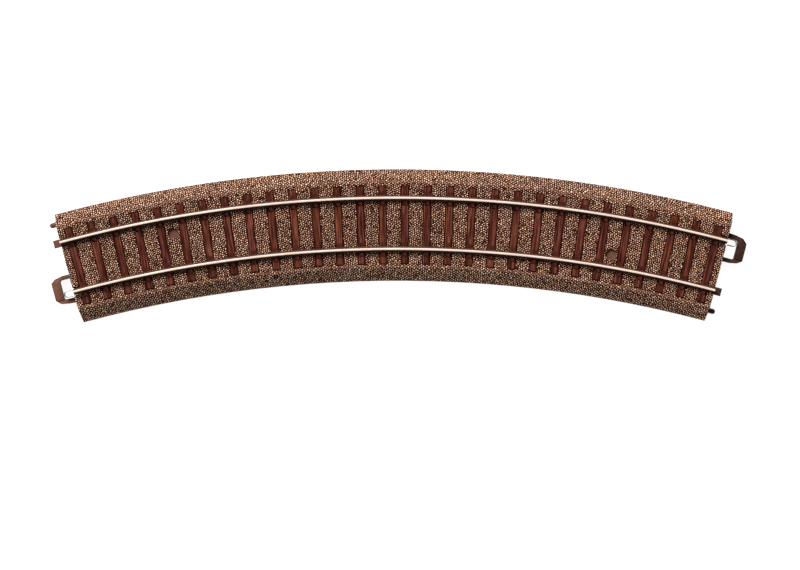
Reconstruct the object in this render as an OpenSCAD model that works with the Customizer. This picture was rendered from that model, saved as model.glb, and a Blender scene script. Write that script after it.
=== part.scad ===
// Curved two-rail track section on a moulded roadbed, for a 16.5 mm gauge model railway.
//
// Frame: the origin is on the track centreline at the middle of the curve, at the base.
// +Z is up, +X runs along the track, and +Y points to the outer side of the curve.
// Both ends are the same shape, turned half a turn, so any end fits any other end.

/* [Curve] */
// Radius of the track centreline
curve_radius = 437.5; // [400:0.5:600]
// Angle that the section turns through, in degrees
curve_angle = 30; // [29:0.5:36]

/* [Roadbed] */
// Width of the base
bed_width = 39; // [38.6:0.1:40.4]
// Width of the flat top between the two shoulders
shoulder_width = 29.8; // [29.2:0.1:30.4]
// Height of the flat top above the base
bed_height = 7.4; // [7.2:0.1:7.8]
// Height of the upright edge below each slope
skirt_height = 0.6; // [0.3:0.1:1]
// Thickness of the flat top
top_wall = 1.3; // [1:0.1:1.4]
// Thickness of the sloped sides, measured level
side_wall = 1.6; // [1.2:0.1:1.8]
// Thickness of the two end walls
end_wall = 3; // [2.6:0.1:3.4]
// Thickness of the ribs under the top
rib_wall = 1.2; // [0.8:0.1:1.6]

/* [Rails] */
// Distance between the rail centres
rail_spacing = 17.7; // [17.5:0.1:17.9]
// Height of the rail profile
rail_height = 2.3; // [2:0.1:2.6]
// Width of the rail head
rail_head_width = 1; // [0.8:0.05:1.1]
// Width of the rail foot
rail_foot_width = 2; // [1.8:0.05:2.1]

/* [Ties] */
// Length of a tie
tie_length = 27; // [26.8:0.1:27.6]
// Width of a tie at its top
tie_top_width = 2.1; // [2:0.1:2.3]
// Width of a tie at its base
tie_base_width = 2.4; // [2.3:0.1:2.8]
// Height of a tie above the roadbed
tie_height = 0.5; // [0.4:0.1:0.6]
// Shift of the ties towards the inner side of the curve
tie_shift = 0.4; // [0:0.1:0.7]

/* [Couplings] */
// How far a coupling loop reaches out of the end wall
loop_reach = 7.3; // [6.8:0.1:7.6]
// Thickness of the loop's outer bar
loop_bar = 3.2; // [2.8:0.1:3.3]
// Height of a coupling loop
loop_height = 3.2; // [2.6:0.1:3.2]
// How far a rail tongue reaches out of the end wall
tongue_reach = 2.5; // [2:0.1:2.6]
// Radius of a locating peg
peg_radius = 0.9; // [0.7:0.05:0.9]
// How far a locating peg reaches out of the end wall
peg_reach = 2.6; // [2.2:0.1:2.8]
// Radius of the socket for the next section's peg
socket_radius = 1; // [0.95:0.05:1.1]

/* [Screw holes] */
// Radius of the pilot hole for a fastening screw
screw_hole_radius = 0.6; // [0.5:0.05:0.8]
// Angle from the middle of the curve to each screw hole
screw_angle = 10; // [9.9:0.05:10.1]
// Distance of each screw hole from the middle of the ties
screw_offset = 3.9; // [3.7:0.1:4.2]

/* [Hidden] */
$fn = 96;
overcut = 1;
tie_count = 30;

half_angle = curve_angle / 2;
tie_pitch = curve_angle / tie_count;
bed_half = bed_width / 2;
shoulder_half = shoulder_width / 2;
hollow_top = bed_height - top_wall;
slope_run = (bed_half - shoulder_half) / (bed_height - skirt_height);

// Ribs: crosswise ones stand on the base, lengthwise ones hang from the top.
rib_angles = [-10, -5, 0, 5, 10];
long_rib_y = 4.5;
long_rib_bottom = 4.8;

// Screw bosses under the top, with a shallow recess for the screw's head.
boss_radius = 2.4;
recess_radius = 1.8;
recess_depth = 1;
// A thin skin closes the hole under the recess until a screw pierces it.
hole_skin = 0.4;
hole_top = bed_height - recess_depth - hole_skin;

// Rail profile, from its foot upwards, above the seat that the chairs give it.
chair_plate = 0.1;
rail_seat = bed_height + tie_height + chair_plate;
rail_y = rail_spacing / 2;
foot_edge = 0.25;
foot_rise = 0.5;
web_width = 0.55;
head_depth = 0.65;
head_flare = 0.15;
head_round = 0.14;

// Rail chairs: a thin plate under the rail, and a clip with a bolt on each side of it.
chair_width = 1.8;
chair_reach = 2.5;
clip_width = 1.3;
clip_gap = 0.05;
clip_reach = 2.2;
clip_high = 0.75;
clip_low = 0.3;
bolt_radius = 0.32;
bolt_height = 0.85;
bolt_y = 1.75;

// Coupling loop, in the frame of an end: x out of the end wall, y towards the loop.
loop_low = 2.1;
loop_high = 12.2;
loop_inner_low = 3.5;
loop_inner_high = 10.35;
loop_bottom = 1.2;
loop_root_gap = 0.2;
loop_corner = 1.6;
loop_lead_in = 0.8;
loop_arm_step = 0.5;

// Rail tongue, with a lead-in at its top edge.
tongue_width = 2.7;
tongue_bottom = 6.15;
tongue_top = 7.35;
tongue_lead_in = 0.4;

// Contact window behind each rail end, and the pocket for the next section's tongue.
window_width = 3;
window_bottom = 4.3;
window_top = 6.05;

// Mouth for the next section's loop, and the catch that the loop snaps behind.
mouth_margin = 0.35;
mouth_top = 4.6;
catch_y = -5.6;
catch_width = 3;
catch_front = 2.6;
catch_back = 3.85;
catch_bottom = 4;

// Locating peg and its socket, on opposite sides of the centreline.
peg_y = 15.75;
peg_z = 2.9;
socket_depth = end_wall + 0.1;

// Sheet-metal contacts: a hairpin spring on the loop side, and a strip under each rail end.
sheet = 0.3;
spring_width = 2.5;
spring_nose = 3.6;
spring_root = -1.2;
spring_free_end = 0.5;
spring_bottom = 4.5;
spring_top = 6;
strip_width = 2.4;
strip_start = -1.6;
strip_length = 12;
blade_width = 2.8;
blade_bottom = 1.5;
plate_x = -3.8;
plate_bottom = 4.5;

bed_colour = "#6b4a3a";
tie_colour = "#5c2f27";
rail_colour = "#cfc3bb";
plastic_colour = "#5e4034";
contact_colour = "#b9bcc0";

function tie_name(i) = str("tie_", i < 10 ? "0" : "", i);

// Angle that a length along the centreline takes up.
function arc_angle(length) = length / curve_radius * 180 / PI;

// Half the outer width of the roadbed at a height above its base.
function half_width_at(z) = bed_half - max(0, z - skirt_height) * slope_run;

// Mirror a list of points of a symmetric outline to the other side, in order.
function both_sides(points) = concat(
    points,
    [for (i = [len(points) - 1 : -1 : 0]) [-points[i][0], points[i][1]]]
);

// Places its children at a point of the centreline, x along the track and y outwards.
module at_station(angle) {
    translate([0, -curve_radius, 0])
        rotate([0, 0, -angle])
            translate([0, curve_radius, 0])
                children();
}

// Places its children at an end: side is -1 for the left end and 1 for the right one.
module at_end(side) {
    at_station(side * half_angle)
        rotate([0, 0, side < 0 ? 180 : 0])
            children();
}

// Sweeps an outline, given across the track, along the curve between two angles.
module sweep(from_angle, to_angle) {
    translate([0, -curve_radius, 0])
        rotate_extrude(angle = to_angle - from_angle, start = 90 - to_angle, $fn = 1200)
            translate([curve_radius, 0])
                children();
}

// A box between two corners.
module block(low, high) {
    translate(low)
        cube(high - low);
}

module bed_outline() {
    polygon(both_sides([
        [bed_half, 0],
        [bed_half, skirt_height],
        [shoulder_half, bed_height]
    ]));
}

module hollow_outline() {
    polygon(both_sides([
        [bed_half - side_wall, -overcut],
        [bed_half - side_wall, skirt_height],
        [half_width_at(hollow_top) - side_wall, hollow_top],
        [long_rib_y + rib_wall / 2, hollow_top],
        [long_rib_y + rib_wall / 2, long_rib_bottom],
        [long_rib_y - rib_wall / 2, long_rib_bottom],
        [long_rib_y - rib_wall / 2, hollow_top]
    ]));
}

// The spaces under the top, one between each rib and the next.
module hollows() {
    rib_half = arc_angle(rib_wall / 2);
    first = -half_angle + arc_angle(end_wall);
    starts = concat([first], [for (a = rib_angles) a + rib_half]);
    ends = concat([for (a = rib_angles) a - rib_half], [-first]);
    for (i = [0 : len(starts) - 1]) {
        sweep(starts[i], ends[i])
            hollow_outline();
    }
}

// Places its children at both screw holes.
module at_screw_holes() {
    for (side = [-1, 1]) {
        at_station(side * screw_angle)
            translate([0, -side * screw_offset - tie_shift, 0])
                children();
    }
}

// What the end wall leaves open: the loop side is y > 0 and the tongue side is y < 0.
module end_openings() {
    depth = end_wall + 0.3;
    block(
        [-depth, rail_y - window_width / 2, window_bottom],
        [overcut, rail_y + window_width / 2, bed_height + overcut]
    );
    block(
        [-depth, -rail_y - window_width / 2, window_bottom],
        [overcut, -rail_y + window_width / 2, window_top]
    );
    block(
        [-depth, -loop_high - mouth_margin, -overcut],
        [overcut, -loop_low + mouth_margin, mouth_top]
    );
    translate([-socket_depth, peg_y, peg_z])
        rotate([0, 90, 0])
            cylinder(r = socket_radius, h = socket_depth + overcut);
}

module catch_block() {
    block(
        [-catch_back, catch_y - catch_width / 2, catch_bottom],
        [-catch_front, catch_y + catch_width / 2, hollow_top]
    );
}

module roadbed() {
    color(bed_colour)
    difference() {
        union() {
            difference() {
                sweep(-half_angle, half_angle)
                    bed_outline();
                hollows();
                at_end(-1)
                    end_openings();
                at_end(1)
                    end_openings();
            }
            at_end(-1)
                catch_block();
            at_end(1)
                catch_block();
            at_screw_holes()
                cylinder(r = boss_radius, h = hollow_top + top_wall / 2);
        }
        at_screw_holes() {
            translate([0, 0, -overcut])
                cylinder(r = screw_hole_radius, h = hole_top + overcut);
            translate([0, 0, bed_height - recess_depth])
                cylinder(r = recess_radius, h = recess_depth + overcut);
        }
    }
}

module rail_outline() {
    foot_half = rail_foot_width / 2;
    web_half = web_width / 2;
    head_half = rail_head_width / 2;
    polygon(both_sides([
        [foot_half, 0],
        [foot_half, foot_edge],
        [web_half, foot_rise],
        [web_half, rail_height - head_depth - head_flare],
        [head_half, rail_height - head_depth],
        [head_half, rail_height - head_round],
        [head_half - head_round, rail_height]
    ]));
}

// A rail: side is 1 for the outer one and -1 for the inner one.
module rail(side) {
    color(rail_colour)
        sweep(-half_angle, half_angle)
            translate([side * rail_y, rail_seat])
                rail_outline();
}

// One side of a rail chair, with the rail at y = 0 and the clip at y > 0.
module rail_clip() {
    clip_start = rail_foot_width / 2 + clip_gap;
    rotate([90, 0, 90])
        linear_extrude(height = clip_width, center = true)
            polygon([
                [clip_start, -chair_plate],
                [clip_start, clip_high],
                [clip_reach, clip_low],
                [clip_reach, -chair_plate]
            ]);
    translate([0, bolt_y, 0])
        cylinder(r = bolt_radius, h = bolt_height, $fn = 24);
}

module rail_chair() {
    block(
        [-chair_width / 2, -chair_reach, -chair_plate],
        [chair_width / 2, chair_reach, 0]
    );
    rail_clip();
    mirror([0, 1, 0])
        rail_clip();
}

// Tie number i, counted from the left end, with its two rail chairs.
module tie(i) {
    base_half = tie_base_width / 2;
    top_half = tie_top_width / 2;
    color(tie_colour)
    at_station((i - (tie_count + 1) / 2) * tie_pitch) {
        translate([0, -tie_shift, bed_height])
            rotate([90, 0, 0])
                linear_extrude(height = tie_length, center = true)
                    polygon(both_sides([[base_half, 0], [top_half, tie_height]]));
        for (side = [-1, 1]) {
            translate([0, side * rail_y, rail_seat])
                rail_chair();
        }
    }
}

module loop_plan() {
    opening_x = loop_reach - loop_bar;
    polygon([
        [loop_root_gap, loop_low],
        [loop_reach - loop_corner, loop_low + loop_corner / 3],
        [loop_reach, loop_low + loop_corner],
        [loop_reach, loop_high - loop_corner * 1.4],
        [loop_reach - loop_corner, loop_high - loop_corner / 2],
        [loop_root_gap, loop_high],
        [loop_root_gap, loop_inner_high],
        [opening_x, loop_inner_high],
        [opening_x, loop_inner_low],
        [loop_root_gap, loop_inner_low]
    ]);
}

// The loop seen from its side: low arms, and a higher bar with a sloped lead-in.
module loop_side() {
    opening_x = loop_reach - loop_bar;
    polygon([
        [0, 0],
        [loop_reach - loop_lead_in / 2, 0],
        [loop_reach, loop_lead_in / 2],
        [loop_reach, loop_height - loop_lead_in],
        [loop_reach - loop_lead_in, loop_height],
        [opening_x, loop_height],
        [opening_x, loop_height - loop_arm_step],
        [0, loop_height - loop_arm_step]
    ]);
}

module coupling_loop(side) {
    color(plastic_colour)
    at_end(side)
        translate([0, 0, loop_bottom])
            intersection() {
                linear_extrude(height = loop_height)
                    loop_plan();
                translate([0, loop_high + overcut, 0])
                    rotate([90, 0, 0])
                        linear_extrude(height = loop_high + 2 * overcut)
                            loop_side();
            }
}

module rail_tongue(side) {
    color(plastic_colour)
    at_end(side)
        translate([0, -rail_y + tongue_width / 2, 0])
            rotate([90, 0, 0])
                linear_extrude(height = tongue_width)
                    polygon([
                        [0, tongue_bottom],
                        [tongue_reach, tongue_bottom],
                        [tongue_reach, tongue_top - tongue_lead_in],
                        [tongue_reach - tongue_lead_in, tongue_top],
                        [0, tongue_top]
                    ]);
}

// A round peg with a domed nose.
module locating_peg(side) {
    dome = peg_radius;
    color(plastic_colour)
    at_end(side)
        translate([0, -peg_y, peg_z])
            rotate([0, 90, 0]) {
                cylinder(r = peg_radius, h = peg_reach - dome);
                translate([0, 0, peg_reach - dome])
                    rotate_extrude()
                        intersection() {
                            circle(r = dome);
                            square(dome);
                        }
            }
}

// A hairpin of sheet metal on edge: a root leg, a round nose and a shorter free leg.
module contact_spring(side) {
    outer = spring_width / 2;
    nose_x = spring_nose - outer;
    color(contact_colour)
    at_end(side)
        translate([0, rail_y, spring_bottom])
            linear_extrude(height = spring_top - spring_bottom) {
                difference() {
                    translate([nose_x, 0])
                        circle(r = outer);
                    translate([nose_x, 0])
                        circle(r = outer - sheet);
                    translate([nose_x - 2 * outer, -2 * outer])
                        square([2 * outer, 4 * outer]);
                }
                translate([spring_root, outer - sheet])
                    square([nose_x - spring_root, sheet]);
                translate([spring_free_end, -outer])
                    square([nose_x - spring_free_end, sheet]);
            }
}

// A strip under a rail end with a blade at its far end. rail_side is 1 on the loop side of
// the end and -1 on the tongue side, where a bent-down plate meets the next spring.
module contact_strip(side, rail_side) {
    start = rail_side > 0 ? strip_start : plate_x + sheet;
    color(contact_colour)
    at_end(side)
        translate([0, rail_side * rail_y, 0]) {
            block(
                [-strip_length, -strip_width / 2, hollow_top - sheet],
                [start, strip_width / 2, hollow_top]
            );
            block(
                [-strip_length - sheet, -blade_width / 2, blade_bottom],
                [-strip_length, blade_width / 2, hollow_top]
            );
            if (rail_side < 0)
                block(
                    [plate_x, -strip_width / 2, plate_bottom],
                    [plate_x + sheet, strip_width / 2, hollow_top]
                );
        }
}

roadbed();
rail(1);  // outer_rail
rail(-1);  // inner_rail
coupling_loop(-1);  // left_coupling_loop
coupling_loop(1);  // right_coupling_loop
rail_tongue(-1);  // left_rail_tongue
rail_tongue(1);  // right_rail_tongue
locating_peg(-1);  // left_locating_peg
locating_peg(1);  // right_locating_peg
contact_spring(-1);  // left_contact_spring
contact_spring(1);  // right_contact_spring
contact_strip(-1, -1);  // left_outer_contact_strip
contact_strip(-1, 1);  // left_inner_contact_strip
contact_strip(1, 1);  // right_outer_contact_strip
contact_strip(1, -1);  // right_inner_contact_strip
for (i = [1 : tie_count]) {
    tie(i);
}
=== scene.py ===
"""Looks for a curved model track section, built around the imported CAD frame.

Every place and size comes from the frame or from the few driving sizes below, in metres. The
curve's centre lies on the Y axis, and a station is an angle along the curve from its middle.
"""

import math

import bmesh
import bpy
import numpy as np
from mathutils import Matrix, Vector


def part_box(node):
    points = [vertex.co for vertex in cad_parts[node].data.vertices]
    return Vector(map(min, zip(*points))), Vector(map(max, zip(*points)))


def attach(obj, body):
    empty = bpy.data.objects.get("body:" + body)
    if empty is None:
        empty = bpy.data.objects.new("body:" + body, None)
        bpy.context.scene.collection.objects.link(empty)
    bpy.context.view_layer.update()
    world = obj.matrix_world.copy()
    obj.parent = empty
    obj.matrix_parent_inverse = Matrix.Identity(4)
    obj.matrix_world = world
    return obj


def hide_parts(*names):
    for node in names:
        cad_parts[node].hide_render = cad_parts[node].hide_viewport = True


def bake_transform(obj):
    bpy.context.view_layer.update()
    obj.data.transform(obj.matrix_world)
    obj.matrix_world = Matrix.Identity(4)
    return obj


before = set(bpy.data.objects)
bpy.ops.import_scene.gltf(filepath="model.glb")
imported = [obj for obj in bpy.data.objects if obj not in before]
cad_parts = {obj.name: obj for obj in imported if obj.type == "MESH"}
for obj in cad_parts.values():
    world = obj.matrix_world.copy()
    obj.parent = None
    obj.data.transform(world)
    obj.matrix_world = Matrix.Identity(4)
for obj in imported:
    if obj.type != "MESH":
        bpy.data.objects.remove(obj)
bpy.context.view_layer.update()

MM = 0.001

# ---------------------------------------------------------------- driving sizes
RADIUS = 437.5 * MM
HALF_ANGLE = math.radians(15)
TIE_COUNT = 30
TIE_PITCH = 2 * HALF_ANGLE / TIE_COUNT

BED_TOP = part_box("roadbed")[1].z
# the outer edge crosses the Y axis, so the box ends half the bed's width from the centreline
BED_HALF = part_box("roadbed")[1].y
SHOULDER_HALF = 14.9 * MM
SKIRT = 0.6 * MM

RAIL_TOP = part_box("outer_rail")[1].z
RAIL_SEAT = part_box("outer_rail")[0].z
RAIL_Y = 8.85 * MM

TIE_LENGTH = 27.0 * MM
TIE_SHIFT = 0.4 * MM
TIE_HALF_BASE = 1.2 * MM
TIE_HALF_TOP = 1.05 * MM
TIE_HEIGHT = 0.5 * MM
GROOVE_PITCH = 0.22 * MM
GROOVE_DEPTH = 0.14 * MM
TIE_END_ROUND = 0.22 * MM
TIE_DRIFT = 0.35 * MM
TIE_WEAR = 0.05 * MM
TIE_EDGE_WAVE = 0.06 * MM
TIE_ROOT = 0.15 * MM
CHAIR_REACH = 2.5 * MM

SCREW_ANGLE = math.radians(10)
SCREW_Y = 3.9 * MM
RECESS_RADIUS = 1.8 * MM

POCKET_HALF = 1.5 * MM
POCKET_DEPTH = 3.3 * MM

# ---------------------------------------------------------------- ballast grains
GRAIN = 0.78 * MM
GRID_TURN = 0.45
ROW_PITCH = 0.866
GRAIN_HEIGHT = 0.4 * MM
BALLAST_STEP = 0.17 * MM
BALLAST_SEGMENTS = 8
BALLAST_FLOOR = -0.25 * MM
SHOULDER_ROUND = 0.9 * MM
SHOULDER_SINK = 0.28 * MM
TIE_MOAT = 0.34 * MM
FOOT_FADE = 1.2 * MM
SWELL_PITCH = 4 * MM
SWELL_HEIGHT = 0.06 * MM
LIFT_UNDER_TIE = 0.05 * MM
LIFT_CLEAR = 0.04 * MM
END_BULGE = 0.28 * MM

# ---------------------------------------------------------------- light, with angles in degrees
SKY = 0.28
KEY = 4.5
KEY_SPREAD = 30
KEY_TURN = 34
KEY_RISE = 49
FLOOR_GLOW = 0.92
FLOOR_TONE = 0.42
FLOOR_SIZE = 3.0
FLOOR_DROP = 0.02 * MM

# ---------------------------------------------------------------- camera, with angles in degrees
CAMERA_RISE = 88.0
CAMERA_ROLL = -0.145
CAMERA_DISTANCE = 0.95
CAMERA_TARGET = (2.08 * MM, -20.98 * MM, 0)
CAMERA_LENS = 122.454
CAMERA_SENSOR = 36


# ================================================================ small helpers
def link(obj):
    bpy.context.scene.collection.objects.link(obj)
    return obj


def new_piece(name, verts, faces, material, smooth=True):
    """A mesh object from vertices in the row frame."""
    mesh = bpy.data.meshes.new(name)
    mesh.from_pydata([tuple(v) for v in verts], [], faces)
    mesh.validate()
    mesh.update()
    if smooth:
        mesh.shade_smooth()
    mesh.materials.append(material)
    return link(bpy.data.objects.new(name, mesh))


def piece_from_bmesh(name, bm, material):
    """A smooth-shaded mesh object from a bmesh, which is freed."""
    mesh = bpy.data.meshes.new(name)
    bmesh.ops.recalc_face_normals(bm, faces=bm.faces)
    bm.to_mesh(mesh)
    bm.free()
    mesh.shade_smooth()
    mesh.materials.append(material)
    return link(bpy.data.objects.new(name, mesh))


def set_attribute(obj, name, kind, values):
    """A point attribute that the materials read: kind is FLOAT or FLOAT_VECTOR."""
    attribute = obj.data.attributes.new(name, kind, "POINT")
    key = "value" if kind == "FLOAT" else "vector"
    attribute.data.foreach_set(key, np.asarray(values, np.float32).ravel())


def smoothstep(low, high, x):
    t = np.clip((x - low) / (high - low), 0, 1)
    return t * t * (3 - 2 * t)


def track_points(angle, offset, z):
    """Row-frame points from a station angle, an offset outwards and a height."""
    r = RADIUS + offset
    return np.stack([r * np.sin(angle), r * np.cos(angle) - RADIUS, z + 0 * angle], -1)


def station(angle, half_turn=False):
    """The matrix that places things modelled with x along the track and y outwards."""
    place = Matrix.Translation((0, -RADIUS, 0)) @ Matrix.Rotation(-angle, 4, "Z")
    place = place @ Matrix.Translation((0, RADIUS, 0))
    if half_turn:
        place = place @ Matrix.Rotation(math.pi, 4, "Z")
    return place


def end_station(side):
    """The frame of an end: x out of the end wall, y towards the coupling loop."""
    return station(side * HALF_ANGLE, half_turn=side < 0)


# Large odd numbers that scatter the bits of a hash, and the widths that it is cut to.
HASH_X, HASH_Y, HASH_SEED = 374761393, 668265263, 974634777
HASH_MIX, HASH_STIR = 1274126177, 2246822519
WORD, SHORT_WORD = 0xFFFFFFFF, 0xFFFFFF


def hashed(ix, iy, seed):
    """A repeatable number from 0 to 1 for each pair of whole numbers."""
    h = ix.astype(np.int64) * HASH_X + iy.astype(np.int64) * HASH_Y + seed * HASH_SEED
    h = h & WORD
    h = ((h ^ (h >> 13)) * HASH_MIX) & WORD
    h = ((h ^ (h >> 16)) * HASH_STIR) & WORD
    return ((h ^ (h >> 15)) & SHORT_WORD) / float(SHORT_WORD)


def cells(x, y, seed, jitter=0.54):
    """Cellular noise on a staggered grid: distances to the two nearest points, and their facts."""
    turned_x = x * math.cos(GRID_TURN) - y * math.sin(GRID_TURN)
    turned_y = x * math.sin(GRID_TURN) + y * math.cos(GRID_TURN)
    v = turned_y / ROW_PITCH
    u = turned_x - 0.5 * v
    bu, bv = np.floor(u), np.floor(v)
    f1 = np.full(x.shape, 9.0)
    f2 = np.full(x.shape, 9.0)
    near = np.zeros(x.shape + (2,))
    chance = np.zeros(x.shape)
    other = np.zeros(x.shape)
    for i in (-1, 0, 1):
        for j in (-1, 0, 1):
            cu, cv = bu + i, bv + j
            dv = v - cv - 0.5 - jitter * (hashed(cu, cv, seed + 1) - 0.5)
            du = u - cu - 0.5 - jitter * (hashed(cu, cv, seed) - 0.5)
            dx, dy = du + 0.5 * dv, ROW_PITCH * dv
            d = np.hypot(dx, dy)
            closer = d < f1
            f2 = np.where(closer, f1, np.minimum(f2, d))
            f1 = np.where(closer, d, f1)
            chance = np.where(closer, hashed(cu, cv, seed + 2), chance)
            other = np.where(closer, hashed(cu, cv, seed + 3), other)
            near[..., 0] = np.where(closer, dx, near[..., 0])
            near[..., 1] = np.where(closer, dy, near[..., 1])
    return f1, f2, near, chance, other


def soft_noise(x, y, seed):
    """Smooth value noise from 0 to 1."""
    bx, by = np.floor(x), np.floor(y)
    tx, ty = x - bx, y - by
    tx, ty = tx * tx * (3 - 2 * tx), ty * ty * (3 - 2 * ty)
    a = hashed(bx, by, seed) * (1 - tx) + hashed(bx + 1, by, seed) * tx
    b = hashed(bx, by + 1, seed) * (1 - tx) + hashed(bx + 1, by + 1, seed) * tx
    return a * (1 - ty) + b * ty


# ================================================================ materials
class Nodes:
    """Short calls that add and join shader nodes."""

    def __init__(self, name):
        self.material = bpy.data.materials.new(name)
        self.material.use_nodes = True
        self.tree = self.material.node_tree
        self.shader = self.tree.nodes["Principled BSDF"]

    def add(self, kind, **settings):
        node = self.tree.nodes.new(kind)
        for key, value in settings.items():
            setattr(node, key, value)
        return node

    def join(self, out, into):
        self.tree.links.new(out, into)

    def attribute(self, name, socket="Fac"):
        return self.add("ShaderNodeAttribute", attribute_name=name).outputs[socket]

    def position(self):
        return self.add("ShaderNodeTexCoord").outputs["Object"]

    def scaled(self, vector, scale):
        node = self.add("ShaderNodeVectorMath", operation="MULTIPLY")
        self.join(vector, node.inputs[0])
        node.inputs[1].default_value = scale
        return node.outputs[0]

    def noise(self, vector, scale, detail=4, rough=0.6):
        node = self.add("ShaderNodeTexNoise")
        self.join(vector, node.inputs["Vector"])
        node.inputs["Scale"].default_value = scale
        node.inputs["Detail"].default_value = detail
        node.inputs["Roughness"].default_value = rough
        return node.outputs["Fac"]

    def ramp(self, factor, stops):
        node = self.add("ShaderNodeValToRGB")
        ramp = node.color_ramp
        while len(ramp.elements) < len(stops):
            ramp.elements.new(0.5)
        for element, (place, colour) in zip(ramp.elements, stops):
            element.position = place
            element.color = (*colour, 1)
        self.join(factor, node.inputs["Fac"])
        return node.outputs["Color"]

    def spread(self, factor, low, high, to_low, to_high):
        node = self.add("ShaderNodeMapRange")
        self.join(factor, node.inputs["Value"])
        node.inputs["From Min"].default_value = low
        node.inputs["From Max"].default_value = high
        node.inputs["To Min"].default_value = to_low
        node.inputs["To Max"].default_value = to_high
        return node.outputs["Result"]

    def mix(self, factor, a, b, blend="MIX"):
        node = self.add("ShaderNodeMix", data_type="RGBA", blend_type=blend)
        if isinstance(factor, (int, float)):
            node.inputs["Factor"].default_value = factor
        else:
            self.join(factor, node.inputs["Factor"])
        for value, socket in ((a, node.inputs[6]), (b, node.inputs[7])):
            if isinstance(value, tuple):
                socket.default_value = (*value, 1)
            else:
                self.join(value, socket)
        return node.outputs[2]

    def added(self, a, b):
        """The sum of two values, kept between 0 and 1."""
        node = self.add("ShaderNodeMath", operation="ADD", use_clamp=True)
        self.join(a, node.inputs[0])
        self.join(b, node.inputs[1])
        return node.outputs[0]

    def bump(self, height, strength, distance):
        node = self.add("ShaderNodeBump")
        node.inputs["Strength"].default_value = strength
        node.inputs["Distance"].default_value = distance
        self.join(height, node.inputs["Height"])
        self.join(node.outputs["Normal"], self.shader.inputs["Normal"])

    def finish(self, colour, roughness, metallic=0.0, specular=0.5):
        self.join(colour, self.shader.inputs["Base Color"])
        if isinstance(roughness, (int, float)):
            self.shader.inputs["Roughness"].default_value = roughness
        else:
            self.join(roughness, self.shader.inputs["Roughness"])
        self.shader.inputs["Metallic"].default_value = metallic
        self.shader.inputs["Specular IOR Level"].default_value = specular
        return self.material


GAP_PAINTED_SHADE = (0.012, 0.002, 0.001)
GRAIN_LOW = (0.036, 0.007, 0.002)
GRAIN_MID = (0.168, 0.049, 0.019)
GRAIN_TOP = (0.845, 0.565, 0.395)
TIE_GROOVE_SHADE = (0.022, 0.003, 0.001)
TIE_MID = (0.064, 0.0125, 0.006)
TIE_LIGHT = (0.175, 0.056, 0.034)
PLASTIC_DARK = (0.050, 0.020, 0.013)
PLASTIC_MID = (0.100, 0.041, 0.026)
PLASTIC_LIGHT = (0.170, 0.078, 0.052)
# Rail colours: a painted highlight for the middle of the head's top, and browned metal darkened
# further as painted shade for the web, foot and head edges.
HEAD_HIGHLIGHT = (0.860, 0.665, 0.560)
HEAD_HIGHLIGHT_DIM = (0.620, 0.450, 0.365)
WEB_BROWN_AND_SHADE_DARK = (0.028, 0.009, 0.004)
WEB_BROWN_AND_SHADE_LIGHT = (0.085, 0.036, 0.022)


def ballast_material():
    """Moulded grains: darker down into the gaps as painted shade, with light printed tops and a
    tone for each grain.
    """
    n = Nodes("ballast_grains")
    height = n.attribute("grain_height")
    tone = n.attribute("grain_tone")
    fine = n.noise(n.position(), 2600, 5, 0.7)
    lifted = n.added(height, n.spread(fine, 0.3, 0.7, -0.12, 0.12))
    # the colour follows the grain height: the low parts and the gaps are darkened as painted shade
    colour = n.ramp(
        lifted,
        [(0.20, GAP_PAINTED_SHADE), (0.50, GRAIN_LOW), (0.74, GRAIN_MID), (0.98, GRAIN_TOP)],
    )
    warm = n.spread(tone, 0.55, 1.0, 0.0, 0.45)
    grey = n.spread(tone, 0.45, 0.0, 0.0, 0.40)
    tinted = n.mix(warm, (1, 1, 1), (1.25, 0.85, 0.72))
    tinted = n.mix(grey, tinted, (0.86, 1.0, 1.02))
    colour = n.mix(1.0, colour, tinted, "MULTIPLY")
    broad = n.noise(n.position(), 45, 3, 0.6)
    shade = n.ramp(broad, [(0.3, (0.86, 0.84, 0.83)), (0.7, (1.1, 1.1, 1.1))])
    colour = n.mix(1.0, colour, shade, "MULTIPLY")
    n.bump(n.noise(n.position(), 5200, 4, 0.7), 0.5, 0.05 * MM)
    return n.finish(colour, n.spread(fine, 0.3, 0.7, 0.5, 0.75), specular=0.06)


def tie_material():
    """Red-brown plastic with moulded wood grain: darker in the grooves, down the drafted sides and
    at the chairs' feet as painted shade, and lighter on the ridges.
    """
    n = Nodes("tie_wood_grain")
    local = n.attribute("tie_place", "Vector")
    groove = n.attribute("groove")
    streak = n.noise(n.scaled(local, (1.0, 0.05, 1.0)), 3600, 4, 0.65)
    blotch = n.noise(n.position(), 420, 3, 0.6)
    level = n.added(groove, n.spread(streak, 0.25, 0.75, -0.25, 0.25))
    # painted shade: low groove levels, the tie's sides and the chairs' feet come out dark
    colour = n.ramp(level, [(0.05, TIE_GROOVE_SHADE), (0.5, TIE_MID), (0.98, TIE_LIGHT)])
    tint = n.ramp(blotch, [(0.3, (0.78, 0.74, 0.80)), (0.7, (1.2, 1.12, 1.0))])
    colour = n.mix(1.0, colour, tint, "MULTIPLY")
    batch = n.attribute("tie_tone")
    tint = n.ramp(
        batch, [(0.0, (0.92, 0.88, 1.05)), (0.5, (1.0, 1.0, 1.0)), (1.0, (1.06, 1.10, 0.95))]
    )
    colour = n.mix(1.0, colour, tint, "MULTIPLY")
    n.bump(streak, 0.35, 0.04 * MM)
    return n.finish(colour, n.spread(blotch, 0.3, 0.7, 0.48, 0.7), specular=0.07)


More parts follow.
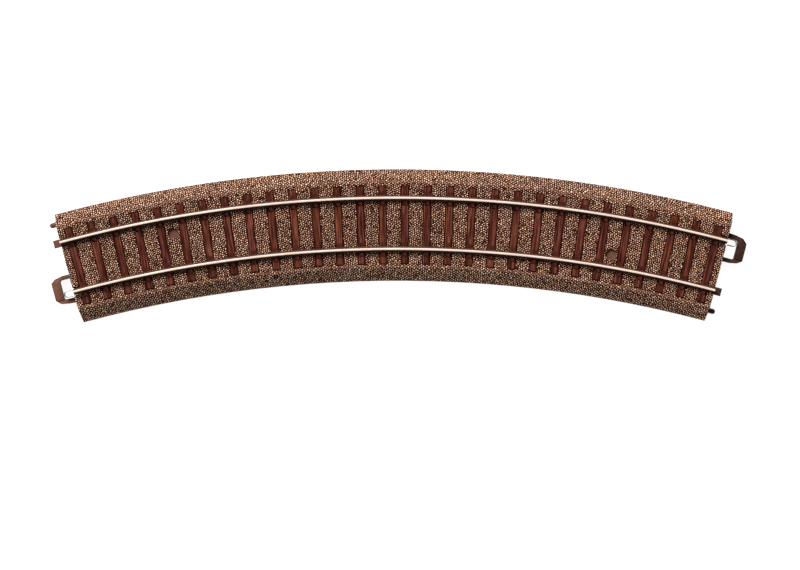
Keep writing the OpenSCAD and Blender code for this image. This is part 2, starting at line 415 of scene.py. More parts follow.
def plastic_material(name, gain=1.0):
    """Plain moulded brown plastic with a faint grain, lighter on its sharp outer edges."""
    n = Nodes(name)
    fine = n.noise(n.position(), 3000, 5, 0.7)
    broad = n.noise(n.position(), 260, 3, 0.6)
    dark, mid, light = [
        tuple(min(1, c * gain) for c in x) for x in (PLASTIC_DARK, PLASTIC_MID, PLASTIC_LIGHT)
    ]
    colour = n.ramp(fine, [(0.25, dark), (0.5, mid), (0.8, light)])
    shade = n.ramp(broad, [(0.3, (0.8, 0.8, 0.8)), (0.7, (1.15, 1.12, 1.1))])
    colour = n.mix(1.0, colour, shade, "MULTIPLY")
    # sharp outer edges are mixed towards the light colour
    edge = n.add("ShaderNodeNewGeometry").outputs["Pointiness"]
    edge_lightening = n.spread(edge, 0.52, 0.62, 0.0, 0.5)
    colour = n.mix(edge_lightening, colour, light)
    n.bump(fine, 0.4, 0.03 * MM)
    return n.finish(colour, n.spread(broad, 0.3, 0.7, 0.45, 0.65), specular=0.12)


def rail_material():
    """Drawn rail: a painted highlight stripe along the head's top with fine lines along it, and a
    web, foot and head edges of browned metal darkened by painted shade.
    """
    n = Nodes("rail_nickel")
    place = n.attribute("rail_place", "Vector")
    head = n.attribute("rail_head_highlight")
    lines = n.noise(n.scaled(place, (0.02, 1.0, 1.0)), 9000, 3, 0.6)
    patches = n.noise(n.scaled(place, (0.25, 1.0, 1.0)), 600, 4, 0.6)
    # the head stripe's colour is a painted highlight; the web's is browned metal with painted shade
    bright = n.mix(n.spread(patches, 0.35, 0.7, 0.0, 0.7), HEAD_HIGHLIGHT, HEAD_HIGHLIGHT_DIM)
    web_brown_and_shade = n.mix(n.spread(patches, 0.3, 0.7, 0.0, 1.0), WEB_BROWN_AND_SHADE_DARK, WEB_BROWN_AND_SHADE_LIGHT)
    colour = n.mix(head, web_brown_and_shade, bright)
    rough = n.added(n.spread(head, 0, 1, 0.6, 0.5), n.spread(lines, 0.3, 0.7, -0.06, 0.1))
    n.bump(lines, 0.25, 0.01 * MM)
    n.join(n.spread(head, 0.0, 1.0, 0.0, 0.3), n.shader.inputs["Metallic"])
    n.join(colour, n.shader.inputs["Base Color"])
    n.join(rough, n.shader.inputs["Roughness"])
    n.shader.inputs["Specular IOR Level"].default_value = 0.2
    return n.material


def contact_material():
    """Tinned spring sheet, bright with a faint rolled grain and grey handling marks."""
    n = Nodes("contact_tin")
    grain = n.noise(n.scaled(n.position(), (1.0, 1.0, 6.0)), 2500, 3, 0.6)
    marks = n.noise(n.position(), 900, 4, 0.6)
    colour = n.ramp(marks, [(0.3, (0.14, 0.13, 0.12)), (0.7, (0.36, 0.34, 0.32))])
    n.bump(grain, 0.2, 0.01 * MM)
    return n.finish(colour, n.spread(grain, 0.3, 0.7, 0.2, 0.38), metallic=1.0)


def floor_material():
    """A white light table, so that no shadow greys the ground round the track."""
    n = Nodes("floor_white")
    tone = n.noise(n.position(), 3, 2, 0.5)
    low, high = FLOOR_TONE - 0.01, FLOOR_TONE + 0.01
    colour = n.ramp(tone, [(0.0, (low, low, low)), (1.0, (high, high, high))])
    glow = n.ramp(tone, [(0.0, (0.99, 0.99, 0.99)), (1.0, (1.0, 1.0, 1.0))])
    n.join(glow, n.shader.inputs["Emission Color"])
    n.shader.inputs["Emission Strength"].default_value = FLOOR_GLOW
    return n.finish(colour, 0.9, specular=0.0)


BALLAST = ballast_material()
TIE = tie_material()
# One plastic for the end fittings in two copies: the left end's is made lighter as painted light,
# the right end's darker as painted shade.
END_PLASTIC_LIT_AND_SHADED = {
    -1: plastic_material("coupling_plastic_lit", 1.2),
    1: plastic_material("coupling_plastic_shaded", 0.4),
}
BED_PLASTIC = plastic_material("roadbed_plastic", 1.3)
RAIL = rail_material()
CONTACT = contact_material()


# ================================================================ ballast skin
def section_path(step):
    """Points across the bed from the inner foot to the outer one.

    Gives the distance along the section from its middle, the offset, the height, the outward and
    upward parts of the normal, and how far the shoulder's rounding sinks each point.
    """
    slope = np.array([SHOULDER_HALF - BED_HALF, BED_TOP - SKIRT])
    slope_length = float(np.hypot(*slope))
    normal = np.array([slope[1], -slope[0]]) / slope_length
    total = 2 * slope_length + 2 * SHOULDER_HALF
    count = int(round(total / step)) + 1
    u = np.linspace(0, total, count)
    middle = total / 2
    beyond = np.abs(u - middle) - SHOULDER_HALF
    on_slope = beyond > 0
    run = np.clip(beyond, 0, slope_length) / slope_length
    offset = np.where(on_slope, SHOULDER_HALF - slope[0] * run, np.abs(u - middle))
    z = np.where(on_slope, BED_TOP - slope[1] * run, BED_TOP)
    turn = smoothstep(-SHOULDER_ROUND, SHOULDER_ROUND, beyond)
    n_out = normal[0] * turn
    n_up = 1 + (normal[1] - 1) * turn
    size = np.hypot(n_out, n_up)
    side = np.sign(u - middle)
    # the shoulder's corner is taken off, so that the slope rolls over into the top
    sink = SHOULDER_SINK * np.exp(-((beyond / (0.7 * MM)) ** 2))
    return u - middle, side * offset, z, side * n_out / size, n_up / size, sink


def grain_relief(along, across):
    """Height from 0 to about 1 of the grains at points seen in plan, and a tone for each grain."""
    x, y = along / GRAIN, across / GRAIN
    wobble = 0.16
    wx = x + wobble * (soft_noise(x * 1.7, y * 1.7, 51) - 0.5) * 2
    wy = y + wobble * (soft_noise(x * 1.7, y * 1.7, 52) - 0.5) * 2
    f1, f2, near, chance, tone = cells(wx, wy, 11)
    edge = f2 - f1
    crown = np.sqrt(np.clip(1 - (f1 / 0.8) ** 2, 0, 1))
    dome = smoothstep(0.04, 0.5, edge) * (0.6 + 0.4 * crown)
    tilt = 0.2 * (near[..., 0] * (chance - 0.5) + near[..., 1] * (tone - 0.5)) * 2
    height = dome * (0.90 + 0.14 * chance) + tilt * smoothstep(0.0, 0.4, edge)
    rough = soft_noise(x * 4.3, y * 4.3, 77) - 0.5
    return np.clip(height + 0.1 * rough, 0, 1.25), tone


def covered_by_tie(angle, offset):
    """From 0 in the open to 1 under a tie, with a narrow soft edge."""
    index = np.round((angle + HALF_ANGLE) / TIE_PITCH - 0.5)
    index = np.clip(index, 0, TIE_COUNT - 1)
    centre = (index + 0.5) * TIE_PITCH - HALF_ANGLE
    along = np.abs(angle - centre) * (RADIUS + offset)
    across = np.abs(offset + TIE_SHIFT) - TIE_LENGTH / 2
    side_cover = 1 - smoothstep(TIE_HALF_BASE, TIE_HALF_BASE + TIE_MOAT, along)
    end_cover = 1 - smoothstep(0, TIE_MOAT, across)
    return side_cover * end_cover


def left_open(angle, offset):
    """True where the skin has a hole: the screw recesses and the pockets at the rail ends."""
    hole = np.zeros(angle.shape, bool)
    for side in (-1, 1):
        x = (RADIUS + offset) * np.sin(angle - side * SCREW_ANGLE)
        y = (RADIUS + offset) * np.cos(angle - side * SCREW_ANGLE) - RADIUS
        hole |= np.hypot(x, y + side * SCREW_Y + TIE_SHIFT) < RECESS_RADIUS
        from_end = (HALF_ANGLE - side * angle) * (RADIUS + offset)
        in_pocket = np.abs(offset - side * RAIL_Y) < POCKET_HALF
        hole |= in_pocket & (from_end < POCKET_DEPTH)
    return hole


def ballast_segment(index):
    """One stretch of the grain skin: a closed layer that lies on the roadbed's top and slopes."""
    across, offset, z, n_out, n_up, sink = section_path(BALLAST_STEP)
    span = 2 * HALF_ANGLE / BALLAST_SEGMENTS
    rows = int(round(span * RADIUS / BALLAST_STEP)) + 1
    start = -HALF_ANGLE + index * span
    angle = np.linspace(start, start + span, rows)[:, None] + 0 * across[None, :]
    across = 0 * angle + across[None, :]
    offset = 0 * angle + offset[None, :]
    # the mould lifts straight up, so grains keep their plan size and stretch down the slopes
    relief, tone = grain_relief(angle * RADIUS, offset)
    cover = covered_by_tie(angle, offset)
    swell = soft_noise(angle * RADIUS / SWELL_PITCH, across / SWELL_PITCH, 90) - 0.5
    foot = smoothstep(0, FOOT_FADE, np.abs(across).max() - np.abs(across))
    lift = (relief * GRAIN_HEIGHT + swell * SWELL_HEIGHT) * (1 - cover) * (0.3 + 0.7 * foot)
    lift = lift - sink[None, :] * 0.6 + LIFT_CLEAR
    lift = np.where(cover > 0.5, np.minimum(lift, LIFT_UNDER_TIE), lift)
    out = np.clip(offset + lift * n_out[None, :], -BED_HALF, BED_HALF)
    up = z[None, :] + lift * n_up[None, :]
    # grains at the two ends stand a little out of the end face, but not at the foot
    end_bulge = np.clip((relief - 0.5) * END_BULGE / RADIUS, 0, None)
    end_bulge = end_bulge * np.clip(foot - 0.1, 0, None)
    bulged = angle.copy()
    if index == 0:
        bulged[0] -= end_bulge[0]
    if index == BALLAST_SEGMENTS - 1:
        bulged[-1] += end_bulge[-1]
    top = track_points(bulged, out, up)
    low_out = offset + BALLAST_FLOOR * n_out[None, :]
    low_up = z[None, :] + (BALLAST_FLOOR - sink[None, :]) * n_up[None, :]
    bottom = track_points(angle, low_out, np.maximum(low_up, SKIRT))
    open_here = left_open(angle, offset)
    columns = across.shape[1]
    number = np.arange(rows * columns).reshape(rows, columns)
    quads = np.stack(
        [number[:-1, :-1], number[1:, :-1], number[1:, 1:], number[:-1, 1:]], -1
    )
    kept = ~(open_here[:-1, :-1] | open_here[1:, :-1] | open_here[1:, 1:] | open_here[:-1, 1:])
    quads = quads[kept]
    verts = np.concatenate([top.reshape(-1, 3), bottom.reshape(-1, 3)])
    below = rows * columns
    edges = np.concatenate([quads[:, [i, (i + 1) % 4]] for i in range(4)])
    key = np.sort(edges, axis=1)
    key = key[:, 0] * (2 * below) + key[:, 1]
    unique, first, counts = np.unique(key, return_index=True, return_counts=True)
    border = edges[first[counts == 1]]
    walls = np.stack(
        [border[:, 1], border[:, 0], border[:, 0] + below, border[:, 1] + below], -1
    )
    faces = np.concatenate([quads[:, ::-1], (quads + below), walls[:, ::-1]])
    used = np.unique(faces)
    renumber = np.zeros(2 * below, int)
    renumber[used] = np.arange(len(used))
    obj = new_piece(
        f"ballast_{index + 1}", verts[used].tolist(), renumber[faces].tolist(), BALLAST
    )
    # the heights drive the colour, so the lowered parts under the ties and the zero underside take
    # the painted gap shade
    grain = np.concatenate([(relief * (1 - 0.85 * cover)).ravel(), np.zeros(below)])
    tones = np.concatenate([tone.ravel(), tone.ravel()])
    set_attribute(obj, "grain_height", "FLOAT", grain[used])
    set_attribute(obj, "grain_tone", "FLOAT", tones[used])
    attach(obj, "track")
    return obj


# ================================================================ ties and rail chairs
def round_edges(bm, edges, bevel):
    """Bevels edges in the order they come, so that each run gives the same mesh."""
    bmesh.ops.bevel(
        bm, geom=list(dict.fromkeys(edges)), offset=bevel, segments=2, profile=0.6, affect="EDGES"
    )


def add_block(bm, low, high, bevel):
    """A box between two corners with its edges rounded."""
    centre = (Vector(low) + Vector(high)) / 2
    size = Vector(high) - Vector(low)
    place = Matrix.Translation(centre) @ Matrix.Diagonal((*size, 1))
    made = bmesh.ops.create_cube(bm, size=1, matrix=place)
    round_edges(bm, (e for v in made["verts"] for e in v.link_edges), bevel)


def add_prism(bm, first, last):
    """A closed prism between two outlines with as many points each. Gives its faces."""
    rings = [[bm.verts.new(point) for point in outline] for outline in (first, last)]
    faces = [bm.faces.new(rings[0]), bm.faces.new(rings[1][::-1])]
    for i in range(len(first)):
        j = (i + 1) % len(first)
        faces.append(bm.faces.new((rings[0][j], rings[0][i], rings[1][i], rings[1][j])))
    return faces


def add_wedge(bm, half_width, near, far, high, low, bevel):
    """A clip's sloping body: from y = near, where it is high, to y = far, where it is low."""
    corners = [(near, 0), (near, high), (far, low), (far, 0)]
    outlines = [[(x, y, z) for y, z in corners] for x in (-half_width, half_width)]
    faces = add_prism(bm, *outlines)
    round_edges(bm, (e for f in faces for e in f.edges), bevel)


def add_bolt(bm, y, radius, height):
    """A small hexagon nut with a round bolt end on top."""
    nut = Matrix.Translation((0, y, height * 0.35))
    bmesh.ops.create_cone(
        bm, segments=6, radius1=radius, radius2=radius * 0.92, depth=height * 0.7,
        cap_ends=True, matrix=nut,
    )
    stud = Matrix.Translation((0, y, height * 0.8))
    bmesh.ops.create_cone(
        bm, segments=10, radius1=radius * 0.55, radius2=radius * 0.4, depth=height * 0.4,
        cap_ends=True, matrix=stud,
    )


def chair_mesh():
    """A rail chair: plate, two clips with raised edges, and two bolts. z = 0 is the rail seat."""
    bm = bmesh.new()
    add_block(bm, (-0.9 * MM, -2.5 * MM, -0.2 * MM), (0.9 * MM, 2.5 * MM, -0.005 * MM), 0.04 * MM)
    for side in (-1, 1):
        part = bmesh.new()
        add_wedge(part, 0.62 * MM, 1.05 * MM, 2.2 * MM, 0.6 * MM, 0.2 * MM, 0.06 * MM)
        for x in (-0.5, 0.5):
            rib = bmesh.new()
            add_wedge(rib, 0.12 * MM, 1.06 * MM, 2.3 * MM, 0.74 * MM, 0.28 * MM, 0.04 * MM)
            bmesh.ops.translate(rib, vec=(x * MM, 0, 0), verts=rib.verts)
            merge(part, rib)
        add_bolt(part, 1.72 * MM, 0.3 * MM, 0.82 * MM)
        if side < 0:
            bmesh.ops.rotate(
                part, cent=(0, 0, 0), matrix=Matrix.Rotation(math.pi, 3, "Z"), verts=part.verts
            )
        merge(bm, part)
    return bm


def merge(into, other):
    """Adds everything in one bmesh to another, and frees the first."""
    mesh = bpy.data.meshes.new("scratch")
    other.to_mesh(mesh)
    other.free()
    into.from_mesh(mesh)
    bpy.data.meshes.remove(mesh)


def tie_block(index):
    """One tie: a drafted block with wood grain cut along its top, ends and sides."""
    columns = np.concatenate(
        [[-1.0], np.linspace(-0.985, -0.86, 4), np.linspace(-0.82, 0.82, 25),
         np.linspace(0.86, 0.985, 4), [1.0]]
    )
    x = columns * TIE_HALF_BASE
    y = np.linspace(-TIE_LENGTH / 2, TIE_LENGTH / 2, 110)
    gx, gy = np.meshgrid(x, y)
    drift = TIE_DRIFT * (soft_noise(gy / (7 * MM), 0 * gy + index, 5) - 0.5)
    grain_x = (gx + drift) / GROOVE_PITCH
    lines = soft_noise(grain_x + 13 * index, gy / (5.5 * MM), 21)
    split = soft_noise(grain_x * 0.45 + 7 * index, gy / (8 * MM), 23)
    groove = np.clip(0.7 * lines + 0.4 * smoothstep(0.2, 0.6, split) - 0.1, 0, 1)
    drop = (TIE_HALF_BASE - np.abs(gx)) / (TIE_HALF_BASE - TIE_HALF_TOP)
    shape = smoothstep(-0.3, 1.15, drop)
    end = np.minimum(1, (TIE_LENGTH / 2 - np.abs(gy)) / TIE_END_ROUND)
    shape = shape * (0.45 + 0.55 * np.sqrt(np.clip(end, 0, 1)))
    wear = TIE_WEAR * (soft_noise(gx / (1.6 * MM), gy / (2.5 * MM) + 31 * index, 29) - 0.5)
    z = TIE_HEIGHT * shape - (1 - groove) * GROOVE_DEPTH * shape + wear * shape
    edge_wave = TIE_EDGE_WAVE * (soft_noise(gy / (1.2 * MM), np.sign(gx) * 3 + index, 31) - 0.5)
    gx = gx + edge_wave * (np.abs(columns)[None, :] > 0.8)
    under = seat_mask(gy)
    z = np.where(under, np.minimum(z, TIE_HEIGHT - 0.01 * MM), z)
    return gx, gy - TIE_SHIFT, z, groove, shape


def seat_mask(y):
    """True where a rail chair covers the tie."""
    return np.abs(np.abs(y - TIE_SHIFT) - RAIL_Y) < CHAIR_REACH


def tie_piece(index, chair):
    """The tie with its two chairs, as one mesh in place."""
    gx, gy, z, groove, shape = tie_block(index)
    rows, columns = gx.shape
    top = np.stack([gx, gy, BED_TOP + z], -1).reshape(-1, 3)
    bottom = np.stack([gx, gy, 0 * z + BED_TOP - TIE_ROOT], -1).reshape(-1, 3)
    below = rows * columns
    number = np.arange(below).reshape(rows, columns)
    quads = np.stack(
        [number[:-1, :-1], number[:-1, 1:], number[1:, 1:], number[1:, :-1]], -1
    ).reshape(-1, 4)
    edge = np.concatenate(
        [number[0, :], number[1:, -1], number[-1, -2::-1], number[-2:0:-1, 0]]
    )
    after = np.roll(edge, -1)
    walls = np.stack([edge, edge + below, after + below, after], -1)
    cap = (edge + below)[::-1]
    place = station((index - 0.5) * TIE_PITCH - HALF_ANGLE)
    verts = np.concatenate([top, bottom])
    keep = np.unique(np.concatenate([quads.ravel(), walls.ravel()]))
    renumber = np.zeros(2 * below, int)
    renumber[keep] = np.arange(len(keep))
    faces = renumber[quads].tolist() + renumber[walls].tolist()
    faces += [renumber[cap].tolist()]
    # painted shade: the level falls off down the drafted sides and rounded ends, and the hidden
    # base ring is set dark
    grooves = np.concatenate([groove.ravel() * (0.35 + 0.65 * shape.ravel()), np.full(below, 0.3)])
    local = [verts[keep]]
    values = [grooves[keep]]
    chair_verts, chair_faces = chair
    for side in (-1, 1):
        shifted = chair_verts + np.array([0, side * RAIL_Y, RAIL_SEAT])
        start = sum(len(v) for v in local)
        faces += [[start + i for i in f] for f in chair_faces]
        local.append(shifted)
        # painted shade: each chair darkens towards its foot on the tie
        values.append(0.45 + 0.35 * smoothstep(0, 0.7 * MM, chair_verts[:, 2]))
    local = np.concatenate(local)
    rotation = np.array(place)[:3, :3]
    world = local @ rotation.T + np.array(place)[:3, 3]
    obj = new_piece(f"tie_{index:02d}_detail", world.tolist(), faces, TIE)
    set_attribute(obj, "groove", "FLOAT", np.concatenate(values))
    set_attribute(obj, "tie_place", "FLOAT_VECTOR", local + np.array([0.01 * index, 0, 0]))
    tone = float(hashed(np.array([index]), np.array([3]), 41)[0])
    set_attribute(obj, "tie_tone", "FLOAT", np.full(len(local), tone))
    obj.data.set_sharp_from_angle(angle=math.radians(38))
    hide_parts(f"tie_{index:02d}")
    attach(obj, "track")
    return obj


# ================================================================ rails
def arc(cx, cy, radius, start, end, count):
    """Points of an arc, with angles in degrees."""
    turn = np.radians(np.linspace(start, end, count))
    return [(cx + radius * math.cos(a), cy + radius * math.sin(a)) for a in turn]


def rail_outline():
    """Half of the rail's outline in millimetres, from under the foot to the middle of the head."""
    height = (RAIL_TOP - RAIL_SEAT) / MM
    half = [(0.0, 0.0), (0.96, 0.0), (1.0, 0.05), (1.0, 0.2)]
    half += [(0.62, 0.34)]
    half += arc(0.5, 0.6, 0.22, 250, 185, 5)
    half += [(0.275, 1.3)]
    half += arc(0.42, 1.36, 0.14, 170, 95, 4)
    half += [(0.46, height - 0.66)]
    half += [(0.5, height - 0.58), (0.5, height - 0.3)]
    half += arc(0.28, height - 0.26, 0.22, 5, 62, 5)
    half += [(x, height - x * x / 3.0) for x in (0.3, 0.2, 0.1, 0.0)]
    return half


def rail_piece(name, side, node):
    """A rail swept along the curve, with a painted highlight stripe marked along its head for the
    material.
    """
    half = rail_outline()
    outline = [(x, z) for x, z in half] + [(-x, z) for x, z in half[-2:0:-1]]
    outline = np.array(outline) * MM
    sections = 241
    angles = np.linspace(-HALF_ANGLE, HALF_ANGLE, sections)
    verts, place = [], []
    for angle in angles:
        ring = track_points(
            np.full(len(outline), angle), side * RAIL_Y + outline[:, 0], RAIL_SEAT + outline[:, 1]
        )
        verts.append(ring)
        along = np.full(len(outline), angle * RADIUS)
        place.append(np.stack([along, outline[:, 0], outline[:, 1]], -1))
    verts, place = np.concatenate(verts), np.concatenate(place)
    count = len(outline)
    faces = []
    for i in range(sections - 1):
        for j in range(count):
            k = (j + 1) % count
            a, b = i * count, (i + 1) * count
            faces.append((a + j, a + k, b + k, b + j))
    faces.append(tuple(range(count))[::-1])
    faces.append(tuple((sections - 1) * count + j for j in range(count)))
    obj = new_piece(name, verts.tolist(), faces, RAIL)
    obj.data.set_sharp_from_angle(angle=math.radians(50))
    top = RAIL_TOP - RAIL_SEAT
    # painted highlight: only a narrow stripe along the head's top is bright, and the head's rounded
    # edges take the web's browned colour, darkened as painted shade
    head = smoothstep(top - 0.10 * MM, top - 0.03 * MM, place[:, 2])
    head = head * (1 - smoothstep(0.28 * MM, 0.42 * MM, np.abs(place[:, 1])))
    set_attribute(obj, "rail_place", "FLOAT_VECTOR", place)
    set_attribute(obj, "rail_head_highlight", "FLOAT", head)
    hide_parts(node)
    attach(obj, "track")
    return obj


# ================================================================ end fittings
# Sizes of the coupling loop in millimetres, in the frame of an end: its two sides and its
# reach, the opening inside it, the bar's inner edge, and where the ramp on the bar starts.
LOOP_LOW, LOOP_HIGH, LOOP_REACH = 2.1, 12.2, 7.3
LOOP_INNER_LOW, LOOP_INNER_HIGH, LOOP_BAR = 3.5, 10.35, 4.1
LOOP_CORNER = 1.6
LOOP_BOTTOM, LOOP_ARM_TOP = 1.2, 3.9
RAMP_START = 5.3
RAMP_SLOPE = 0.45

# The raised part of the loop's bar, in millimetres: its two ends, its top and its grooves' floor.
BAR_NEAR, BAR_FAR, BAR_TOP, GROOVE_FLOOR = 3.95, 10.2, 4.4, 4.28

# Sizes for a loop bend that is not made, in millimetres: along its arms' middle line, from the end
# wall to the bar.
LOOP_MIDDLE, LOOP_HEIGHT, LOOP_BEND = 7.15, 2.8, 3.2

# The locating peg, in millimetres, in the frame of an end.
PEG_Y, PEG_Z, PEG_RADIUS, PEG_REACH = -15.75, 2.9, 0.9, 2.59

# The contact spring, in millimetres: half its width, its sheet and its nose, its two edges and
# how much is taken off them, and its root and free end.
SPRING_OUTER, SHEET, SPRING_NOSE = 1.25, 0.3, 3.6
SPRING_LOW, SPRING_HIGH, SPRING_EDGE = 4.5, 6.0, 0.07
SPRING_ROOT, SPRING_FREE_END = -1.2, 0.5

# The rail tongue, in millimetres: half its width.
TONGUE_HALF = 1.35


def loop_piece(name, side, node):
    """A coupling loop: a chamfered bar on two arms that run back into the end wall."""
    bm = bmesh.new()
    low, high, reach, corner = LOOP_LOW, LOOP_HIGH, LOOP_REACH, LOOP_CORNER
    inner_low, inner_high, bar = LOOP_INNER_LOW, LOOP_INNER_HIGH, LOOP_BAR
    outer = [
        (-0.4, low), (3.0, low), (reach - corner, low + corner / 3), (reach, low + corner),
        (reach, high - corner * 1.4), (reach - corner, high - corner / 2), (3.0, high - 0.25),
        (-0.4, high),
    ]
    inner = [(-0.4, inner_high), (bar - 0.5, inner_high), (bar, inner_high - 0.5),
             (bar, inner_low + 0.5), (bar - 0.5, inner_low), (-0.4, inner_low)]
    ring = outer + inner
    lower = [bm.verts.new((x * MM, y * MM, LOOP_BOTTOM * MM)) for x, y in ring]
    face = bm.faces.new(lower)
    made = bmesh.ops.extrude_face_region(bm, geom=[face])
    lifted = [v for v in made["geom"] if isinstance(v, bmesh.types.BMVert)]
    bmesh.ops.translate(bm, vec=(0, 0, (LOOP_ARM_TOP - LOOP_BOTTOM) * MM), verts=lifted)
    bm.normal_update()
    # cuts across the arms, and one along the bar that lets its edge slope
    for x in (0.0, 0.8, 1.6, 2.4, LOOP_BEND, RAMP_START):
        geom = bm.verts[:] + bm.edges[:] + bm.faces[:]
        bmesh.ops.bisect_plane(bm, geom=geom, plane_co=(x * MM, 0, 0), plane_no=(1, 0, 0))
    for vert in bm.verts:
        if vert.co.z > 2 * MM:
            vert.co.z -= max(0, vert.co.x - RAMP_START * MM) * RAMP_SLOPE
    bmesh.ops.bevel(
        bm, geom=[e for e in bm.edges if len(e.link_faces) == 2 and e.calc_face_angle() > 0.6],
        offset=0.16 * MM, segments=3, profile=0.6, affect="EDGES", clamp_overlap=True,
    )
    bmesh.ops.triangulate(bm, faces=[f for f in bm.faces if len(f.verts) > 4])
    merge(bm, loop_bar())
    bmesh.ops.transform(bm, matrix=end_station(side), verts=bm.verts)
    obj = piece_from_bmesh(name, bm, END_PLASTIC_LIT_AND_SHADED[side])
    obj.data.set_sharp_from_angle(angle=math.radians(35))
    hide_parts(node)
    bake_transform(obj)
    return obj


def loop_bar():
    """The raised part of the loop's bar: two shallow grooves, and a ramp on its outer edge."""
    bm = bmesh.new()
    profile = [(4.15, 3.6), (4.15, 4.25), (4.3, BAR_TOP)]
    for start in (4.5, 4.95):
        profile += [(start, BAR_TOP), (start + 0.06, GROOVE_FLOOR)]
        profile += [(start + 0.16, GROOVE_FLOOR), (start + 0.22, BAR_TOP)]
    profile += [(RAMP_START, BAR_TOP), (7.15, 3.12), (7.15, 2.9)]
    outlines = [[(x * MM, y * MM, z * MM) for x, z in profile] for y in (BAR_NEAR, BAR_FAR)]
    add_prism(bm, *outlines)
    bmesh.ops.recalc_face_normals(bm, faces=bm.faces)
    bmesh.ops.bevel(
        bm, geom=[e for e in bm.edges if e.calc_face_angle() > 0.5], offset=0.03 * MM,
        segments=2, profile=0.6, affect="EDGES",
    )
    return bm


def tongue_piece(name, side, node):
    """A rail tongue: a small block with a lead-in at its top edge."""
    bm = bmesh.new()
    half = TONGUE_HALF * MM
    profile = [(-0.3, 6.15), (2.35, 6.15), (2.5, 6.3), (2.5, 6.95), (2.1, 7.35), (-0.3, 7.35)]
    outlines = [[(x * MM, y - RAIL_Y, z * MM) for x, z in profile] for y in (-half, half)]
    add_prism(bm, *outlines)
    bmesh.ops.recalc_face_normals(bm, faces=bm.faces)
    bmesh.ops.bevel(
        bm, geom=[e for e in bm.edges if e.calc_face_angle() > 0.3], offset=0.1 * MM,
        segments=3, profile=0.6, affect="EDGES",
    )
    bmesh.ops.transform(bm, matrix=end_station(side), verts=bm.verts)
    obj = piece_from_bmesh(name, bm, END_PLASTIC_LIT_AND_SHADED[side])
    obj.data.set_sharp_from_angle(angle=math.radians(35))
    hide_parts(node)
    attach(obj, "track")
    return obj


def peg_piece(name, side, node):
    """A locating peg turned about its own axis, with a small root fillet and a domed nose."""
    radius, reach = PEG_RADIUS, PEG_REACH
    profile = [(-0.2, 1.08), (0.0, 1.08), (0.06, 0.98), (0.18, radius), (reach - radius, radius)]
    profile += [(reach - radius + radius * math.sin(a), radius * math.cos(a))
                for a in np.radians([15, 30, 45, 60, 75, 86])]
    steps = 40
    verts, faces = [], []
    for x, r in profile:
        for k in range(steps):
            turn = 2 * math.pi * k / steps
            verts.append((x, PEG_Y + r * math.cos(turn), PEG_Z + r * math.sin(turn)))
    for i in range(len(profile) - 1):
        for k in range(steps):
            n = (k + 1) % steps
            faces.append((i * steps + k, i * steps + n, (i + 1) * steps + n, (i + 1) * steps + k))
    faces.append(tuple(range(steps))[::-1])
    faces.append(tuple((len(profile) - 1) * steps + k for k in range(steps)))
    place = end_station(side)
    world = [place @ (Vector(v) * MM) for v in verts]
    obj = new_piece(name, [tuple(v) for v in world], faces, END_PLASTIC_LIT_AND_SHADED[side])
    obj.data.set_sharp_from_angle(angle=math.radians(50))
    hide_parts(node)
    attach(obj, "track")
    return obj


def spring_piece(name, side, node):
    """A contact spring: a hairpin of sheet on edge, with its edges taken off."""
    centre_x = SPRING_NOSE - SPRING_OUTER
    middle = SPRING_OUTER - SHEET / 2
    path = [(x, middle) for x in np.linspace(SPRING_ROOT, centre_x, 12, endpoint=False)]
    path += [(centre_x + middle * math.sin(a), middle * math.cos(a))
             for a in np.linspace(0, math.pi, 17)]
    path += [(x, -middle) for x in np.linspace(centre_x, SPRING_FREE_END, 8)[1:]]
    path = np.array(path)
    step = np.gradient(path, axis=0)
    step /= np.linalg.norm(step, axis=1)[:, None]
    normal = np.stack([-step[:, 1], step[:, 0]], -1)
    low, high, edge = SPRING_LOW, SPRING_HIGH, SPRING_EDGE
    section = [(-0.5, low + edge), (-0.25, low), (0.25, low), (0.5, low + edge),
               (0.5, high - edge), (0.25, high), (-0.25, high), (-0.5, high - edge)]
    place = end_station(side)
    verts, faces = [], []
    for point, across in zip(path, normal):
        for t, z in section:
            spot = (point + across * t * SHEET) * MM
            verts.append(tuple(place @ Vector((spot[0], spot[1] + RAIL_Y, z * MM))))
    count = len(section)
    for i in range(len(path) - 1):
        for j in range(count):
            k = (j + 1) % count
            faces.append((i * count + j, i * count + k, (i + 1) * count + k, (i + 1) * count + j))
    faces.append(tuple(range(count))[::-1])
    faces.append(tuple((len(path) - 1) * count + j for j in range(count)))
    obj = new_piece(name, verts, faces, CONTACT)
    obj.data.set_sharp_from_angle(angle=math.radians(50))
    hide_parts(node)
    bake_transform(obj)
    return obj


# ================================================================ build
def dress_cad_nodes():
    """Materials for the CAD nodes that stay visible."""
    for name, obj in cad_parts.items():
        if name == "roadbed":
            material = BED_PLASTIC
        elif "contact_strip" in name:
            material = CONTACT
        else:
            continue
        obj.data.materials.clear()
        obj.data.materials.append(material)


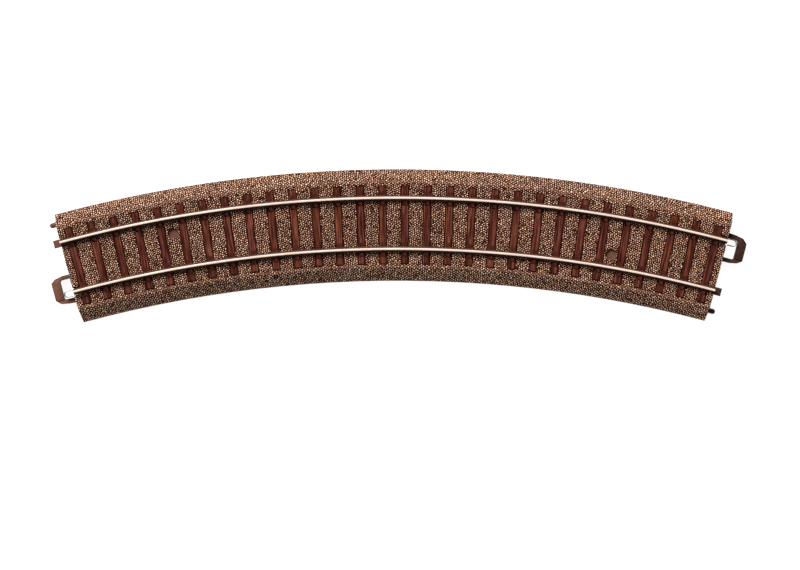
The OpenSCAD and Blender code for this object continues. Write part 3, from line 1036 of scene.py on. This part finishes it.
def build_pieces():
    """Everything modelled here: the ballast, the ties with their chairs, the rails and the ends."""
    for index in range(BALLAST_SEGMENTS):
        ballast_segment(index)
    chair_bm = chair_mesh()
    chair_bm.verts.ensure_lookup_table()
    chair_verts = np.array([tuple(v.co) for v in chair_bm.verts])
    chair_faces = [[v.index for v in f.verts] for f in chair_bm.faces]
    chair_bm.free()
    for index in range(1, TIE_COUNT + 1):
        tie_piece(index, (chair_verts, chair_faces))
    rail_piece("outer_rail_detail", 1, "outer_rail")
    rail_piece("inner_rail_detail", -1, "inner_rail")
    for name, side in (("left", -1), ("right", 1)):
        loop_piece(f"{name}_loop_detail", side, f"{name}_coupling_loop")
        tongue_piece(f"{name}_tongue_detail", side, f"{name}_rail_tongue")
        peg_piece(f"{name}_peg_detail", side, f"{name}_locating_peg")
        spring_piece(f"{name}_spring_detail", side, f"{name}_contact_spring")


def add_floor():
    size = FLOOR_SIZE
    corners = [(-size, -size, 0), (size, -size, 0), (size, size, 0), (-size, size, 0)]
    floor = new_piece("floor", corners, [(0, 1, 2, 3)], floor_material(), smooth=False)
    floor.location.z = -FLOOR_DROP


def add_lights():
    """White light from all round, and a broad key from beyond the outer side, to the left."""
    world = bpy.data.worlds.new("studio")
    bpy.context.scene.world = world
    world.use_nodes = True
    background = world.node_tree.nodes["Background"]
    background.inputs["Color"].default_value = (1, 1, 1, 1)
    background.inputs["Strength"].default_value = SKY
    turn, rise = math.radians(KEY_TURN), math.radians(KEY_RISE)
    towards = Vector((
        -math.sin(turn) * math.cos(rise), math.cos(turn) * math.cos(rise), math.sin(rise)
    ))
    data = bpy.data.lights.new("key", "SUN")
    data.energy = KEY
    data.angle = math.radians(KEY_SPREAD)
    key = link(bpy.data.objects.new("key", data))
    key.location = towards
    key.rotation_euler = (-towards).to_track_quat("-Z", "Y").to_euler()


def add_camera():
    """The camera of the reference view: nearly overhead, from a little on the inner side."""
    elevation, roll = math.radians(CAMERA_RISE), math.radians(CAMERA_ROLL)
    data = bpy.data.cameras.new("camera")
    data.sensor_width = CAMERA_SENSOR
    data.lens = CAMERA_LENS
    data.clip_start = 0.01
    data.clip_end = 20
    camera = link(bpy.data.objects.new("camera", data))
    back = Vector((0, -math.cos(elevation), math.sin(elevation)))
    camera.location = Vector(CAMERA_TARGET) + CAMERA_DISTANCE * back
    look = (-back).to_track_quat("-Z", "Y").to_matrix()
    camera.rotation_euler = (look @ Matrix.Rotation(roll, 3, "Z")).to_euler()
    bpy.context.scene.camera = camera


add_camera()
add_lights()
add_floor()
dress_cad_nodes()
build_pieces()
bpy.context.scene.view_settings.view_transform = "Standard"
